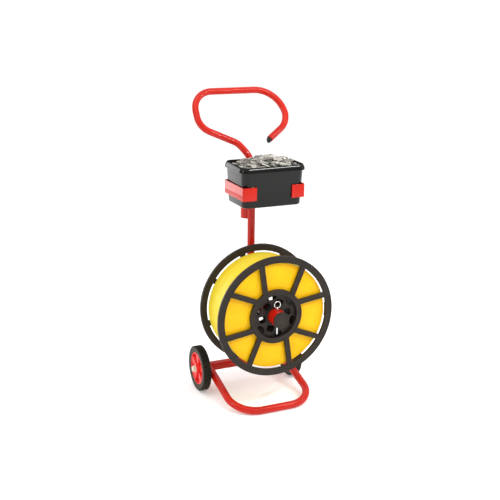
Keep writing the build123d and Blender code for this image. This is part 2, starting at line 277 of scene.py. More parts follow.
def piece(name, grids, finish, body, replaces, sharp=35, attributes=None):
    """One object from closed grids. A grid that doesn't wrap by rows gets flat end caps."""
    points, faces, count = [], [], 0
    for grid, wrap_rows, wrap_columns in grids:
        rows, columns = grid.shape[:2]
        flat = grid.reshape(-1, 3)
        quads = grid_faces(rows, columns, wrap_rows, wrap_columns, 0)
        if not wrap_rows:
            middle = np.stack([grid[0].mean(axis=0), grid[-1].mean(axis=0)])
            flat = np.concatenate([flat, middle])
            ring = np.arange(columns)
            nxt = (ring + 1) % columns
            low = np.full(columns, rows * columns)
            last = (rows - 1) * columns
            caps = [np.stack([nxt, ring, low, low], axis=1),
                    np.stack([ring + last, nxt + last, low + 1, low + 1], axis=1)]
            quads = np.concatenate([quads, *caps])
        quads = outward(flat - flat.mean(axis=0), quads)
        points.append(flat)
        faces.append(quads + count)
        count += len(flat)
    points, faces = np.concatenate(points), np.concatenate(faces)
    mesh = bpy.data.meshes.new(name)
    # a cap's triangle names its middle point twice, so the repeat is left out
    mesh.from_pydata(points.tolist(), [], [list(dict.fromkeys(f)) for f in faces.tolist()])
    for key, values in (attributes or {}).items():
        set_attribute(mesh, key, values)
    mesh.validate()
    merge_doubles(mesh)
    mesh.shade_smooth()
    mesh.set_sharp_from_angle(angle=math.radians(sharp))
    mark_edges(mesh)
    obj = linked(name, mesh)
    obj.data.materials.append(finish)
    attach(obj, body)
    if replaces:
        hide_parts(*replaces)


def merge_doubles(mesh):
    """Joins points that lie on each other, such as the points of a pole."""
    work = bmesh.new()
    work.from_mesh(mesh)
    bmesh.ops.remove_doubles(work, verts=work.verts, dist=1e-7)
    work.to_mesh(mesh)
    work.free()


def mark_edges(mesh):
    """The attribute edge: 0 where the faces at a point turn by under 12 degrees, 1 from 32.

    Two unit normals that turn by t add up to a length of 2 * cos(t / 2)."""
    unworn, worn_by = 12, 20
    loop_edge = np.zeros(len(mesh.loops), np.int32)
    mesh.loops.foreach_get("edge_index", loop_edge)
    sizes = np.zeros(len(mesh.polygons), np.int32)
    mesh.polygons.foreach_get("loop_total", sizes)
    normals = np.zeros(len(mesh.polygons) * 3)
    mesh.polygons.foreach_get("normal", normals)
    normals = normals.reshape(-1, 3)[np.repeat(np.arange(len(sizes)), sizes)]
    ends = np.zeros(len(mesh.edges) * 2, np.int32)
    mesh.edges.foreach_get("vertices", ends)
    total = np.zeros((len(mesh.edges), 3))
    np.add.at(total, loop_edge, normals)
    half_turn = np.arccos(np.clip(np.linalg.norm(total, axis=1) / 2, 0, 1))
    wear = np.clip((np.degrees(2 * half_turn) - unworn) / worn_by, 0, 1)
    at_point = np.zeros(len(mesh.vertices))
    np.maximum.at(at_point, ends, np.repeat(wear, 2))
    set_attribute(mesh, "edge", at_point)


# ---- finishes
class Finish:
    """A Principled material and short ways to add to its nodes."""

    def __init__(self, name, **settings):
        self.material = bpy.data.materials.new(name)
        self.material.use_nodes = True
        self.nodes = self.material.node_tree.nodes
        self.links = self.material.node_tree.links
        self.shader = self.nodes["Principled BSDF"]
        for socket, value in settings.items():
            self.shader.inputs[socket.replace("_", " ")].default_value = value
        self.place = self.nodes.new("ShaderNodeTexCoord").outputs["Object"]

    def connect(self, value, socket):
        if isinstance(value, bpy.types.NodeSocket):
            self.links.new(value, socket)
        else:
            socket.default_value = value

    def add(self, kind, inputs, **options):
        node = self.nodes.new(kind)
        for key, value in options.items():
            setattr(node, key, value)
        for key, value in inputs.items():
            self.connect(value, node.inputs[key])
        return node

    def noise(self, scale, detail=3.0, roughness=0.55, stretch=None):
        """Cloudy pattern from 0 to 1, at so many features a metre."""
        where = self.place
        if stretch:
            where = self.add("ShaderNodeMapping", {"Vector": where, "Scale": stretch}).outputs[0]
        inputs = {"Vector": where, "Scale": scale, "Detail": detail, "Roughness": roughness}
        return self.add("ShaderNodeTexNoise", inputs).outputs["Fac"]

    def cloud(self, scale, detail, low=0.0, high=1.0):
        """Noise whose usual run, 0.3 to 0.7, is spread over low..high."""
        return self.between(self.noise(scale, detail), 0.3, 0.7, low, high)

    def math(self, operation, a, b=0.0):
        return self.add("ShaderNodeMath", {0: a, 1: b}, operation=operation).outputs[0]

    def between(self, value, low, high, out_low=0.0, out_high=1.0):
        """value from low..high to out_low..out_high, held at the ends."""
        inputs = {"Value": value, "From Min": low, "From Max": high,
                  "To Min": out_low, "To Max": out_high}
        return self.add("ShaderNodeMapRange", inputs, clamp=True).outputs["Result"]

    def blend(self, share, a, b):
        """Colour a where share is 0 and b where it is 1."""
        node = self.add("ShaderNodeMix", {}, data_type="RGBA")
        sockets = {s.identifier: s for s in node.inputs}
        self.connect(share, sockets["Factor_Float"])
        for key, colour in (("A_Color", a), ("B_Color", b)):
            if not isinstance(colour, bpy.types.NodeSocket):
                colour = (*colour, 1.0)
            self.connect(colour, sockets[key])
        return next(s for s in node.outputs if s.identifier == "Result_Color")

    def attribute(self, name):
        return self.add("ShaderNodeAttribute", {}, attribute_name=name).outputs["Fac"]

    def radius_about(self, axis, centre):
        """Distance from a line along the named axis through centre."""
        inputs = {"Vector": self.place, "Location": tuple(-c for c in centre)}
        moved = self.add("ShaderNodeMapping", inputs).outputs[0]
        parts = self.add("ShaderNodeSeparateXYZ", {0: moved}).outputs
        squares = [self.math("MULTIPLY", parts[k], parts[k]) for k in range(3) if "XYZ"[k] != axis]
        return self.math("SQRT", self.math("ADD", *squares))

    def bump(self, height, distance, strength=1.0, under=None):
        inputs = {"Height": height, "Distance": distance, "Strength": strength}
        if under is not None:
            inputs["Normal"] = under
        return self.add("ShaderNodeBump", inputs).outputs["Normal"]

    def done(self, colour=None, roughness=None, normal=None):
        for key, value in (("Base Color", colour), ("Roughness", roughness), ("Normal", normal)):
            if value is not None:
                self.connect(value, self.shader.inputs[key])
        return self.material


def powder_coat():
    """Gloss red powder coat: orange peel, faint cloudiness, rubbed edges."""
    f = Finish("red_powder_coat", Coat_Weight=0.42, Coat_Roughness=0.06, Specular_IOR_Level=0.06)
    colour = f.blend(f.cloud(11.0, 2.0), (0.48, 0.011, 0.004), (0.56, 0.015, 0.005))
    speck = f.between(f.noise(420.0, 2.0), 0.62, 0.74)
    rub = f.math("MULTIPLY", f.attribute("edge"), speck)
    colour = f.blend(f.math("MULTIPLY", rub, 0.35), colour, (0.30, 0.10, 0.08))
    roughness = f.cloud(60.0, 3.0, 0.24, 0.36)
    peel = f.bump(f.noise(420.0, 1.0), 0.00008, 0.1)
    return f.done(colour, roughness, peel)


def moulded_plastic(name, dark, light, low, high, gloss, polish=0.0):
    """Injection-moulded plastic: fine grain, flow marks and pale scuffs on the edges."""
    f = Finish(name, Specular_IOR_Level=gloss, Coat_Weight=polish, Coat_Roughness=0.06)
    flow = f.noise(22.0, 4.0, 0.6, stretch=(1.0, 1.0, 2.5))
    colour = f.blend(f.between(flow, 0.3, 0.7), dark, light)
    scuff = f.between(f.noise(260.0, 3.0), 0.5, 0.72)
    rubbed = f.math("ADD", f.math("MULTIPLY", scuff, 0.6), 0.25)
    worn = f.math("MULTIPLY", f.attribute("edge"), rubbed)
    pale = tuple(min(1.0, c * 1.6 + 0.012) for c in light)
    colour = f.blend(worn, colour, pale)
    roughness = f.cloud(95.0, 4.0, low, high)
    grainy = f.bump(f.noise(2200.0, 2.0), 0.00006, 0.6)
    wavy = f.bump(f.noise(38.0, 1.0), 0.0004, 0.25, grainy)
    return f.done(colour, roughness, wavy)


TURN_PITCH = 1.3 * MM


def strap_plastic():
    """Yellow polypropylene strap: edges of the laid turns on the sides, lanes on the outside; the
    outside is painted paler and more lemon than the sides, a painted sheen of its lit face.
    """
    f = Finish("strap_yellow", Specular_IOR_Level=0.2, Subsurface_Weight=0.08, Subsurface_Scale=0.004)
    f.shader.inputs["Subsurface Radius"].default_value = (1.0, 0.6, 0.1)
    radius = f.radius_about("Y", (0.0, 0.0, REEL_Z))
    wobble = f.math("MULTIPLY", f.noise(14.0, 3.0), 0.006)
    turns = f.math("ADD", radius, wobble)
    rings = f.math("SINE", f.math("MULTIPLY", turns, 2 * math.pi / TURN_PITCH))
    bands = f.noise(1.0, 4.0, 0.6, stretch=(9.0, 60.0, 9.0))
    laid = f.blend(f.cloud(16.0, 3.0), (0.94, 0.48, 0.001), (0.97, 0.56, 0.002))
    # the outside's colours are paler and more lemon than the sides': painted sheen where the outside
    # faces the light
    flat = f.blend(f.between(bands, 0.35, 0.7), (0.84, 0.60, 0.02), (0.88, 0.70, 0.05))
    colour = f.blend(f.attribute("outside"), laid, flat)
    roughness = f.cloud(140.0, 3.0, 0.30, 0.45)
    ridged = f.bump(rings, 0.00022, 0.35)
    return f.done(colour, roughness, ridged)


def galvanised(name, dark, light):
    """Zinc-coated sheet: spangle, a little dulled, each seal its own shade; the bed under the seals
    gets a dark one as painted shade.
    """
    f = Finish(name, Metallic=0.45)
    shade = f.attribute("shade")
    spangle = f.add("ShaderNodeTexVoronoi", {"Vector": f.place, "Scale": 420.0}).outputs["Color"]
    patch = f.add("ShaderNodeSeparateColor", {0: spangle}).outputs[0]
    colour = f.blend(shade, dark, light)
    colour = f.blend(f.between(patch, 0.0, 1.0, 0.0, 0.25), colour, (0.30, 0.29, 0.26))
    roughness = f.cloud(300.0, 3.0, 0.28, 0.48)
    dent = f.bump(f.noise(500.0, 2.0), 0.0002, 0.4)
    return f.done(colour, roughness, dent)


def bright_steel():
    """Drawn and zinc-plated steel wire and rod, with fine scratches."""
    f = Finish("bright_steel", Metallic=1.0)
    colour = f.blend(f.cloud(90.0, 3.0), (0.62, 0.61, 0.59), (0.80, 0.79, 0.77))
    scratch = f.noise(700.0, 3.0, 0.6, stretch=(1.0, 1.0, 0.15))
    roughness = f.between(scratch, 0.3, 0.7, 0.14, 0.32)
    fine = f.bump(scratch, 0.00004, 0.4)
    return f.done(colour, roughness, fine)


def tyre_rubber():
    """Black rubber: scuffed ribs, grooves painted near black as painted shade, and a greyer side wall.
    """
    f = Finish("tyre_rubber", Specular_IOR_Level=0.2)
    cloud = f.between(f.noise(45.0, 4.0), 0.35, 0.75)
    colour = f.blend(cloud, (0.040, 0.036, 0.029), (0.060, 0.054, 0.044))
    # near black in the grooves: painted shade in the recesses between the ribs
    colour = f.blend(f.attribute("groove"), colour, (0.0008, 0.0007, 0.0006))
    colour = f.blend(f.attribute("sidewall"), colour, (0.062, 0.056, 0.048))
    roughness = f.cloud(120.0, 3.0, 0.55, 0.8)
    return f.done(colour, roughness, f.bump(f.noise(1500.0, 2.0), 0.0001, 0.6))


RED = powder_coat()
CHARCOAL = moulded_plastic("reel_charcoal", (0.019, 0.014, 0.010), (0.028, 0.021, 0.016),
                           0.38, 0.5, 0.22)
STRAP = strap_plastic()
TOTE_BLACK = moulded_plastic("tote_black", (0.0020, 0.0017, 0.0013), (0.0032, 0.0028, 0.0022),
                             0.13, 0.2, 0.05, polish=0.45)
SEALS = galvanised("seal_zinc", (0.20, 0.19, 0.165), (0.84, 0.82, 0.75))
STEEL = bright_steel()
RUBBER = tyre_rubber()
HUB_RED = moulded_plastic("hub_red", (0.74, 0.016, 0.014), (0.86, 0.030, 0.026), 0.26, 0.38, 0.3)
CREAM = moulded_plastic("cap_cream", (0.66, 0.56, 0.42), (0.76, 0.67, 0.53), 0.35, 0.5, 0.3)
PLUG = moulded_plastic("plug_black", (0.014, 0.011, 0.010), (0.022, 0.018, 0.016), 0.4, 0.55, 0.25)


# ---- mast, handle, base and bar
LEAN = math.radians(33)
HANDLE_BEND_Z = 795 * MM
MAST_TOP_Z = mast_high[2]
HANDLE_FOOT_Z = MAST_TOP_Z - 50 * MM


def handle_point(across, along):
    """A point of the leaning handle plane: across, and the distance up the slope, in mm."""
    return (across * MM, MAST_Y + along * MM * math.sin(LEAN),
            HANDLE_BEND_Z + along * MM * math.cos(LEAN))


def handle_route():
    """Up out of the mast, round the loop and down to the free end."""
    corners = [(-36, 57), (-157, 120), (-157, 245), (157, 245), (157, 122), (79, 66)]
    radii = [80, 60, 62, 68, 94, 70]
    points = [(0, MAST_Y, HANDLE_FOOT_Z), (0, MAST_Y, HANDLE_BEND_Z)]
    points += [handle_point(*corner) for corner in corners]
    return bent_path(points, [r * MM for r in radii])


def build_tubes():
    """Handle with its end plug, mast and base, each a circle carried along a bent path."""
    fit = 0.1 * MM
    plug_in, plug_out = 15 * MM, 8 * MM
    plane_normal = np.array([0, math.cos(LEAN), -math.sin(LEAN)])
    path, ways = handle_route()
    handle = tube_grid(path, ways, plane_normal, HANDLE_R, TUBE_WALL)
    piece("handle", [handle], RED, "frame", ["handle_tube"])
    end, way = path[-1], ways[-1]
    stem, head = HANDLE_R - TUBE_WALL - fit, HANDLE_R - fit
    profile = rounded([(-plug_in, 0), (-plug_in, stem), (0, stem), (0, head), (plug_out, head),
                       (plug_out, 0)], mm(0, 1, 0, 0.8, 5, 0))
    plug = lathe_grid(profile, way, end, 48)
    piece("handle_end_plug", [plug], PLUG, "frame", ["handle_plug"])

    bar_top = bar_high[2]
    foot = [(0, AXLE_Y, bar_top), (0, AXLE_Y, bar_top + 28 * MM),
            (0, MAST_Y, bar_top + 98 * MM), (0, MAST_Y, MAST_TOP_Z)]
    path, ways = bent_path(foot, [60 * MM] * 2)
    mast = tube_grid(path, ways, X_AXIS, TUBE_R, MAST_WALL)
    piece("mast", [mast], RED, "frame", ["mast_tube"])

    base_low, base_high = span("base_tube")
    w = base_high[0] - TUBE_R
    front = base_low[1] + TUBE_R
    end_y = bar_low[1] + 8 * MM
    slope = (AXLE_Z - TUBE_R) / (bar_low[1] - front)
    end_z = TUBE_R + slope * (end_y - front)
    corners = [(-w, end_y, end_z), (-w, front, TUBE_R), (w, front, TUBE_R), (w, end_y, end_z)]
    path, ways = bent_path(corners, [88 * MM] * 2)
    base = tube_grid(path, ways, unit(np.array([0, -slope, 1.0])), TUBE_R, TUBE_WALL)
    piece("base", [base], RED, "frame", ["base_tube"])


def along_x(points):
    """(u, v, w) to a point w along X, u along Y and v along Z, about the axle."""
    return np.stack([points[..., 2], points[..., 0] + AXLE_Y, points[..., 1] + AXLE_Z], axis=-1)


def build_cross_bar():
    """Square bar and its two end plates, one rounded outline swept along X."""
    side = bar_high[2] - bar_low[2]
    outline = rounded(rectangle(side, side), 2.5 * MM, 5)
    bar = prism_grid(outline, bar_low[0], bar_high[0], 0.3 * MM, along_x)
    piece("axle_bar", [bar], RED, "frame", ["cross_bar"])
    for name in ("left", "right"):
        low, high = span("axle_plate_" + name)
        plate = prism_grid(outline, low[0], high[0], 0.6 * MM, along_x)
        piece("bar_end_plate_" + name, [plate], RED, "frame", ["axle_plate_" + name])


def bead_grid(ring, ring_normals, radius, seed):
    """A weld bead: a wobbling tube along a closed ring, with the ripples of a hand weld."""
    ways = unit(np.roll(ring, -1, axis=0) - np.roll(ring, 1, axis=0))
    phase = full_turn(len(ring))
    rng = np.random.default_rng(seed)
    shifts = rng.uniform(0, 2 * math.pi, 3)
    swell = 1 + 0.10 * np.sin(34 * phase + shifts[0]) + 0.08 * np.sin(5 * phase + shifts[1])
    up = np.cross(ways, ring_normals)
    angle = full_turn(10)[None, :, None]
    r = (radius * swell)[:, None, None]
    across = np.cos(angle) * ring_normals[:, None] + np.sin(angle) * up[:, None]
    return ring[:, None] + r * across, True, True


def build_welds():
    """Beads where the mast and the two legs of the base tube meet the bar."""
    circle_xy = unit_circle(X_AXIS, Y_AXIS, 96)
    circle_xz = unit_circle(X_AXIS, Z_AXIS, 96)
    foot = circle_xy * TUBE_R + [0, AXLE_Y, bar_high[2] + 0.6 * MM]
    beads = [bead_grid(foot * [1, 0.96, 1] + [0, AXLE_Y * 0.04, 0], circle_xy, 1.9 * MM, 1)]
    w = span("base_tube")[1][0] - TUBE_R
    for k, side in enumerate((-1, 1)):
        ring = circle_xz * TUBE_R + [side * w, bar_low[1] - 0.4 * MM, AXLE_Z]
        ring[:, 0] = np.clip(ring[:, 0], -bar_high[0] + 1.5 * MM, bar_high[0] - 1.5 * MM)
        ring[:, 2] = np.clip(ring[:, 2], bar_low[2] + 1.2 * MM, bar_high[2] - 1.2 * MM)
        beads.append(bead_grid(ring, circle_xz, 1.8 * MM, 2 + k))
    piece("frame_welds", beads, RED, "frame", [])


# ---- spindle, cap and pin
def build_spindle():
    """End cap and stop collar, each a profile turned about the spindle."""
    spindle_wall, cap_dish = 2.6 * MM, 0.5 * MM
    low, high = span("spindle_end_cap")
    head_r = (high[0] - low[0]) / 2
    tube_low, tube_high = span("spindle_tube")
    bore = (tube_high[0] - tube_low[0]) / 2 - spindle_wall
    seat = tube_low[1]
    profile = rounded([(high[1], 0), (high[1], bore), (seat, bore), (seat, head_r),
                       (low[1], head_r), (low[1], head_r - 3 * MM),
                       (low[1] + cap_dish, head_r - 3.6 * MM), (low[1] + cap_dish, 0)],
                      mm(0, 1, 0, 0.6, 1.4, 0.2, 0.2, 0))
    cap = lathe_grid(profile, Y_AXIS, REEL_CENTRE, 96)
    piece("spindle_cap", [cap], CHARCOAL, "frame", ["spindle_end_cap"])
    low, high = span("spindle_stop_ring")
    outer = (high[0] - low[0]) / 2
    inner = (tube_high[0] - tube_low[0]) / 2
    ring = collar_grid(low, high, inner, outer, 1 * MM, 96)
    piece("reel_stop_collar", [ring], RED, "frame", ["spindle_stop_ring"])


def build_pin():
    """A straight leg with rounded ends, and an upright ring of wire for its eye."""
    low, high = span("retaining_pin")
    pin_y = (low[1] + high[1]) / 2
    wire = 1.9 * MM
    eye_r = (high[0] - low[0]) / 2 - wire
    centre_z = high[2] - eye_r - wire
    leg_r = 3 * MM
    neck_z = centre_z - eye_r
    profile = rounded([(low[2], 0), (low[2], leg_r), (neck_z - 3.5 * MM, leg_r),
                       (neck_z + 1.0 * MM, wire * 0.9), (neck_z + 1.0 * MM, 0)],
                      mm(0, 1.6, 2, 1, 0))
    leg = lathe_grid(profile, Z_AXIS, np.array([0, pin_y, 0]), 32)
    ring = eye_r * unit_circle(-Z_AXIS, X_AXIS, 72)
    normal = unit(ring)
    ring = ring + [0, pin_y, centre_z]
    turn = full_turn(16)[None, :, None]
    eye = ring[:, None] + wire * (np.cos(turn) * normal[:, None] + np.sin(turn) * Y_AXIS)
    piece("wire_pin", [leg, (eye, True, True)], STEEL, "pin", ["retaining_pin"])


# ---- reel
SPOKE_PAIRS = 4
PAIR_PHASE = math.radians(-7)
SPOKE_SPLAY = math.radians(15.5)
SPOKE_OFFSET = 26 * MM
RIM_WIDTH = 22 * MM
HUB_RING = (72 * MM, 90 * MM)
SPOKE_WIDTH = 17 * MM
SUNK = 0.9 * MM         # how far the flat of the rim and spokes lies behind their lips


def flange_ring(inner, outer, face, back):
    """A moulded ring: two lips stand a little proud of its flat face, and its back is plain.

    face is the Y of the lips, back the Y of the other side; either may be in front."""
    s = 1 if back > face else -1
    sunk = face + s * SUNK
    lip = 2.2 * MM
    points = [(back, inner), (face, inner), (face, inner + lip), (sunk, inner + lip + 0.5 * MM),
              (sunk, outer - lip - 0.5 * MM), (face, outer - lip), (face, outer), (back, outer)]
    return rounded(points, mm(1.2, 0.8, 0.3, 0.3, 0.3, 0.3, 1.0, 1.4))


def spoke_grids(face, back):
    """Spokes with raised edges, in pairs that splay like a V.

    A spoke's centre line is offset * across + reach * out, where out is the pair's middle
    direction turned by the splay, and across is square to it."""
    s = 1 if back > face else -1
    half = SPOKE_WIDTH / 2
    lip = 1.8 * MM
    sunk = s * SUNK
    deep = back - s * 1.0 * MM - face
    section = mirrored([(-half, deep), (-half, 0), (-half + lip, 0), (-half + lip + 0.4 * MM, sunk)])
    section = rounded(section, mm(0.8, 0.7, 0.25, 0.25, 0.25, 0.25, 0.7, 0.8), 4)
    start = math.sqrt((HUB_RING[1] - 4.5 * MM) ** 2 - SPOKE_OFFSET ** 2)
    end = math.sqrt((REEL_R - 1.5 * MM) ** 2 - (SPOKE_OFFSET + half) ** 2)
    reach = np.array([start, start + 0.6 * MM, end - 0.6 * MM, end])[:, None, None]
    shrink = np.array([0.93, 1, 1, 0.93])[:, None, None]
    grids = []
    for k in range(SPOKE_PAIRS):
        for hand in (-1, 1):
            a = PAIR_PHASE + 2 * math.pi * k / SPOKE_PAIRS + hand * SPOKE_SPLAY
            out = np.array([math.cos(a), 0, math.sin(a)])
            across = np.array([-math.sin(a), 0, math.cos(a)])
            grid = (REEL_CENTRE + reach * out
                    + (hand * SPOKE_OFFSET + section[None, :, :1] * shrink) * across
                    + (face + section[None, :, 1:] + 0.15 * MM * s) * Y_AXIS)
            grids.append((grid, False, True))
    return grids


def build_flanges():
    """Rim, spokes and hub ring on each side of the reel, and the drum between them."""
    sides = (("front", flange_low[1], flange_high[1], "front_flange"),
             ("rear", rear_high[1], rear_low[1], "rear_flange"))
    for name, face, back, node in sides:
        rim = lathe_grid(flange_ring(REEL_R - RIM_WIDTH, REEL_R, face, back), Y_AXIS, REEL_CENTRE, 192)
        hub = lathe_grid(flange_ring(*HUB_RING, face, back), Y_AXIS, REEL_CENTRE, 144)
        for part, grids in (("rim", [rim]), ("spokes", spoke_grids(face, back)), ("hub_ring", [hub])):
            piece(name + "_" + part, grids, CHARCOAL, "reel", [node])
    low, high = span("winding_core")
    outer = (high[0] - low[0]) / 2
    core = collar_grid(low, high, outer - 3 * MM, outer, 0.8 * MM, 144)
    piece("drum", [core], CHARCOAL, "reel", ["winding_core"])


def build_winding():
    """The wound strap: a profile turned about the spindle, with laid turns and lanes.

    Side faces: depth + up to 0.6 mm of sines of the radius and the angle and a step for each
    turn, because each turn sits a little in or out. Outside: 12 lanes, each crowned and at its
    own height, whose grooves drift sideways once round."""
    low, high = span("strap_winding")
    outer = (high[0] - low[0]) / 2
    inner = HUB_RING[1] - 3 * MM
    front, back = low[1] + 0.3 * MM, high[1] - 0.3 * MM
    rng = np.random.default_rng(7)
    around, turns = 360, 46
    angle = full_turn(around)
    most = 0.6
    radius = np.linspace(inner, outer - 1.2 * MM, turns)[:, None]
    wave = sum(a * np.sin(n * angle[None] + 900 * radius * m + p) for a, n, m, p in
               zip((0.22, 0.15, 0.10), (2, 5, 11), (1.0, 1.7, 2.3), rng.uniform(0, 6, 3)))
    step = rng.normal(0, 0.16, turns)[:, None]
    offset = (np.clip(wave + step, -most, most) + most) * MM
    lanes, per_lane = 12, 8
    y = np.linspace(front + 1.0 * MM, back - 1.0 * MM, lanes * per_lane)[:, None]
    drift = 0.18 * np.sin(angle + 1.0)[None]
    lane = (y - front) / (back - front) * lanes + drift
    crown = np.abs(np.sin(math.pi * lane)) ** 0.4
    heights = rng.uniform(-0.5, 0.5, lanes + 2)
    level = np.interp(lane, np.arange(lanes + 2) + 0.5, heights)
    ripple = 0.12 * np.sin(23 * angle[None] + 40 * lane) + 0.1 * np.sin(7 * angle[None] + lane)
    skin = outer + (-1.0 + 0.5 * crown + 0.5 * level + ripple) * MM
    skin = np.minimum(skin, outer - 0.02 * MM)

    def points(r, depth):
        r, depth = np.broadcast_arrays(r, depth)
        return np.stack([r * np.cos(angle), depth, r * np.sin(angle) + REEL_Z], axis=2)

    front_face = points(radius, front + offset)
    outside = points(skin, y)
    back_face = points(radius[::-1], back - offset[::-1])
    grid = np.concatenate([front_face, outside, back_face])
    on_outside = np.repeat([0.0, 1.0, 0.0], np.array([turns, lanes * per_lane, turns]) * around)
    piece("wound_strap", [(grid, True, True)], STRAP, "reel", ["strap_winding"], 60,
          {"outside": on_outside})


# ---- cradle, sleeve and tote
def build_cradle():
    """Flat bar bent round the tote, its two ends turned in across the front."""
    t = 3 * MM
    corner = 5.5 * MM
    left, right = cradle_low[0] + t / 2, cradle_high[0] - t / 2
    front, back = cradle_low[1] + t / 2, cradle_high[1] - t / 2
    lip = cradle_high[0] - 45.5 * MM
    corners = [(-lip, front, 0), (left, front, 0), (left, back, 0),
               (right, back, 0), (right, front, 0), (lip, front, 0)]
    path, ways = bent_path(corners, [corner] * 4, math.radians(9))
    height = cradle_high[2] - cradle_low[2]
    path = path + [0, 0, (cradle_high[2] + cradle_low[2]) / 2]
    section = rounded(rectangle(t, height), 0.9 * MM, 4)
    band = carried(path, ways, Z_AXIS, section)
    piece("tote_cradle", [(band, False, True)], RED, "frame", ["box_cradle"])


TAPER = math.tan(math.radians(2.6))
RIM_DROP = 18 * MM
RIM_OUT = 6.5 * MM
TOTE_WALL = 2.5 * MM
TOTE_CORNER = 22 * MM
RIM_LIP = 4 * MM


def tote_half(z, inset):
    """Half width and half depth of the tote's wall at height z, set in by inset."""
    grow = TAPER * (z - tote_high[2])
    half_x = (tote_high[0] - tote_low[0]) / 2 - RIM_OUT
    half_y = (tote_high[1] - tote_low[1]) / 2 - RIM_OUT
    return half_x + grow - inset, half_y + grow - inset


def build_tote():
    """A loft of rounded rectangles up the outer wall, over the rim and down the inner wall.

    Each row is (height, distance out from the drafted wall). The rim's roll is a flattened
    quarter curve: height = roll_up * sin(t) ** 1.6, in by roll_across * (1 - cos(t) ** 1.6)."""
    bottom, top = tote_low[2], tote_high[2]
    foot_r, inside_r, floor_in = 5 * MM, 4 * MM, 20 * MM
    bend = np.linspace(0, math.pi / 2, 5)
    foot = [(bottom, -floor_in)]
    foot += [(bottom + foot_r * (1 - math.sin(a)), -foot_r * (1 - math.cos(a))) for a in bend[::-1]]
    under = top - RIM_DROP
    rim = [(under - 1.0 * MM, 0), (under - 0.2 * MM, 0.4 * MM), (under, 1.2 * MM),
           (under, RIM_OUT - 0.6 * MM), (under + 0.4 * MM, RIM_OUT - 0.1 * MM),
           (under + 2.2 * MM, RIM_OUT - 0.1 * MM), (under + 2.8 * MM, RIM_OUT - 1.6 * MM),
           (under + 3.7 * MM, RIM_OUT - 1.6 * MM)]
    roll_across, roll_up = 7.3 * MM, top - under - RIM_LIP - 0.2 * MM
    t = np.linspace(0, math.pi / 2, 14)
    up, back = np.sin(t) ** 1.6, 1 - np.clip(np.cos(t), 0, 1) ** 1.6
    rim += list(zip(under + RIM_LIP + roll_up * up, RIM_OUT - 0.1 * MM - roll_across * back))
    rim += [(top - 0.7 * MM, -2.1 * MM), (top - 2.0 * MM, -TOTE_WALL)]
    floor = bottom + TOTE_WALL
    inside = [(floor + inside_r * (1 - math.sin(a)), -TOTE_WALL - inside_r * (1 - math.cos(a)))
              for a in bend] + [(floor, -floor_in)]
    rows = np.array(foot + rim + inside)
    half_x, half_y = tote_half(rows[:, 0], 0)
    corner = np.maximum(TOTE_CORNER + rows[:, 1], 3 * MM)
    rings = rounded_rectangles(half_x + rows[:, 1], half_y + rows[:, 1], corner)
    rings[..., 1] += TOTE_Y
    height = np.broadcast_to(rows[:, 0, None, None], rings.shape[:2] + (1,))
    grid = np.concatenate([rings, height], axis=2)
    piece("tote", [(grid, False, True)], TOTE_BLACK, "tote", ["seal_box"], 40)


HEAP_DOME = 220 * MM
HEAP_SLUMP = 0.04
HEAP_PEAK = span("seal_heap")[1][2]
HEAP_BELOW_PEAK = 3 * MM
HEAP_HALF_X, HEAP_HALF_Y = tote_half(tote_high[2] - 25 * MM, TOTE_WALL + 1 * MM)
SEAL_LAYERS = (mm(22, 8), mm(23, 3), mm(29, -1))    # spacing, depth under the dome
SEAL_INSET = 12 * MM


def heap_height(x, y):
    """The seals' upper surface: a shallow dome over the middle of the tote, slumped to the left."""
    dome = HEAP_PEAK - HEAP_DOME + np.sqrt(HEAP_DOME ** 2 - x ** 2 - (y - TOTE_Y) ** 2)
    return dome - HEAP_BELOW_PEAK + HEAP_SLUMP * x


def seal_shape():
    """One folded seal as (section points, length stations): a C of sheet with three cross ribs.

    The sheet's outer line runs up one wing, across the back and up the other wing; the inner
    line is the same line moved in by the sheet's thickness."""
    outer = mirrored([(-4.0, 3.7), (-8.9, 3.3), (-9.6, 1.0), (-8.4, 0)])
    inner = mirrored([(-4.0, 2.9), (-8.1, 2.5), (-8.7, 1.3), (-8.0, 0.8)])
    loop = np.concatenate([outer, inner[::-1]]) * MM
    stations = mm(-14.5, -8.4, -7.0, -5.6, -1.4, 0, 1.4, 5.6, 7.0, 8.4, 14.5)
    lift = mm(0, 0, 0.9, 0, 0, 0.9, 0, 0, 0.9, 0, 0)
    grid = np.zeros((len(stations), len(loop), 3))
    grid[..., 0] = loop[None, :, 0]
    grid[..., 2] = loop[None, :, 1] + lift[:, None]
    grid[..., 1] = stations[:, None]
    return grid


def seal_faces(rows, columns):
    """Quads along the seal, and strips of quads that close its two ends."""
    sides = grid_faces(rows, columns, False, True, 0)
    k = np.arange(columns // 2 - 1)
    mate = columns - 1 - k
    end = np.stack([k, k + 1, mate - 1, mate], axis=1)
    return np.concatenate([sides, end, end[:, ::-1] + (rows - 1) * columns])


def turns(yaw, tilt, lean_to):
    """Rotation matrices: a turn about Z by yaw, then a tilt about a level line at lean_to."""
    c, s = np.cos(yaw), np.sin(yaw)
    zero, one = np.zeros_like(c), np.ones_like(c)
    spin = np.stack([c, -s, zero, s, c, zero, zero, zero, one], axis=1).reshape(-1, 3, 3)
    ax, ay = np.cos(lean_to), np.sin(lean_to)
    ct, st = np.cos(tilt), np.sin(tilt)
    lean = np.stack([ct + ax * ax * (1 - ct), ax * ay * (1 - ct), ay * st,
                     ax * ay * (1 - ct), ct + ay * ay * (1 - ct), -ax * st,
                     -ay * st, ax * st, ct], axis=1).reshape(-1, 3, 3)
    return lean @ spin


